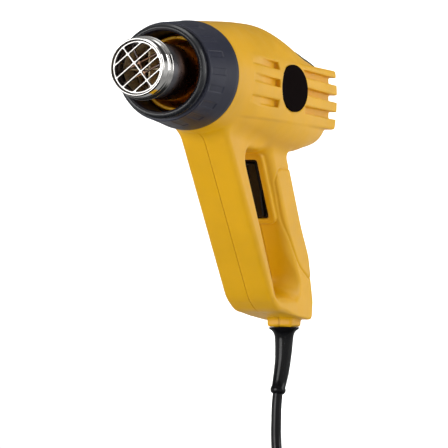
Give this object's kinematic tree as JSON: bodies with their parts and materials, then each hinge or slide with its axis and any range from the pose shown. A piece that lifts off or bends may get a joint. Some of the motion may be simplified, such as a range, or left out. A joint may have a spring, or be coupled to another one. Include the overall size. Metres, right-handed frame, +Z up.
{
  "type": "hot air tool",
  "caption": "Hand-held electric hot air tool with a D-shaped closed handle, steel nozzle in a twist-off collar, rocker switch and mains lead.",
  "frame": {"origin": "middle of the hand grip, on the seam plane between the two housing halves", "axes": "+Z up, -Y the way the nozzle blows, +X to the side of the housing that the picture shows"},
  "size_m": [0.1403, 0.2643, 0.3112],
  "materials": {
    "yellow_shell": "satin golden-yellow moulded plastic",
    "black_plastic": "fine matt moulded black plastic",
    "collar_plastic": "blue-black heat-resistant plastic, satin",
    "rubber": "smooth black cord rubber",
    "chrome": "bright plated steel",
    "dark_steel": "dark brushed steel",
    "bright_steel": "plain bright steel",
    "mica": "beige mica sheet",
    "ceramic": "cream ceramic",
    "copper": "copper",
    "brass": "brass",
    "clamp_plastic": "off-white nylon",
    "circuit_board": "green board",
    "wire_brown": "brown insulation",
    "wire_blue": "blue insulation",
    "wire_red": "red insulation"
  },
  "bodies": {
    "body": {"housing_right": "yellow_shell", "housing_left": "yellow_shell", "intake_grille": "black_plastic", "badge_right": "black_plastic", "badge_left": "black_plastic", "switch_body": "black_plastic", "fan_duct": "black_plastic", "air_funnel": "black_plastic", "motor_mount": "black_plastic", "motor_end_cap": "black_plastic", "magnet_upper": "black_plastic", "magnet_lower": "black_plastic", "brush_upper": "black_plastic", "brush_lower": "black_plastic", "rectifier": "black_plastic", "strain_relief": "rubber", "inner_lead": "rubber", "cord_free": "rubber", "cord_coil": "rubber", "cord_tie": "rubber", "plug_body": "rubber", "nozzle_tip": "chrome", "outlet_grille": "chrome", "nozzle_tube": "dark_steel", "housing_screw_1": "dark_steel", "housing_screw_2": "dark_steel", "housing_screw_3": "dark_steel", "housing_screw_4": "dark_steel", "housing_screw_5": "dark_steel", "housing_screw_6": "dark_steel", "inner_screen": "bright_steel", "heater_winding": "bright_steel", "thermal_fuse": "bright_steel", "motor_can": "bright_steel", "clamp_screw_front": "bright_steel", "clamp_screw_rear": "bright_steel", "mica_sleeve": "mica", "heater_board_flat": "mica", "heater_board_upright": "mica", "heater_base": "ceramic", "bearing_front": "brass", "bearing_rear": "brass", "terminal_low": "brass", "terminal_middle": "brass", "terminal_high": "brass", "plug_pin_left": "brass", "plug_pin_right": "brass", "lead_clamp": "clamp_plastic", "rectifier_board": "circuit_board", "live_wire": "wire_brown", "neutral_wire": "wire_blue", "heater_wire": "wire_red"},
    "collar": {"collar": "collar_plastic"},
    "rotor": {"impeller": "black_plastic", "motor_shaft": "bright_steel", "armature": "copper", "commutator": "copper"},
    "switch_rocker": {"switch_rocker": "black_plastic"}
  },
  "joints": [
    {"name": "collar_twist", "type": "hinge", "parent": "body", "child": "collar", "pos_m": [0, -0.156, 0.095], "axis": [0, 1, 0], "range_deg": [0, 30]},
    {"name": "rotor_spin", "type": "hinge", "parent": "body", "child": "rotor", "pos_m": [0, -0.052, 0.095], "axis": [0, 1, 0], "continuous": true},
    {"name": "rocker_tilt", "type": "hinge", "parent": "body", "child": "switch_rocker", "pos_m": [0, -0.02496, 0.02825], "axis": [1, 0, 0], "range_deg": [0, 14]}
  ]
}
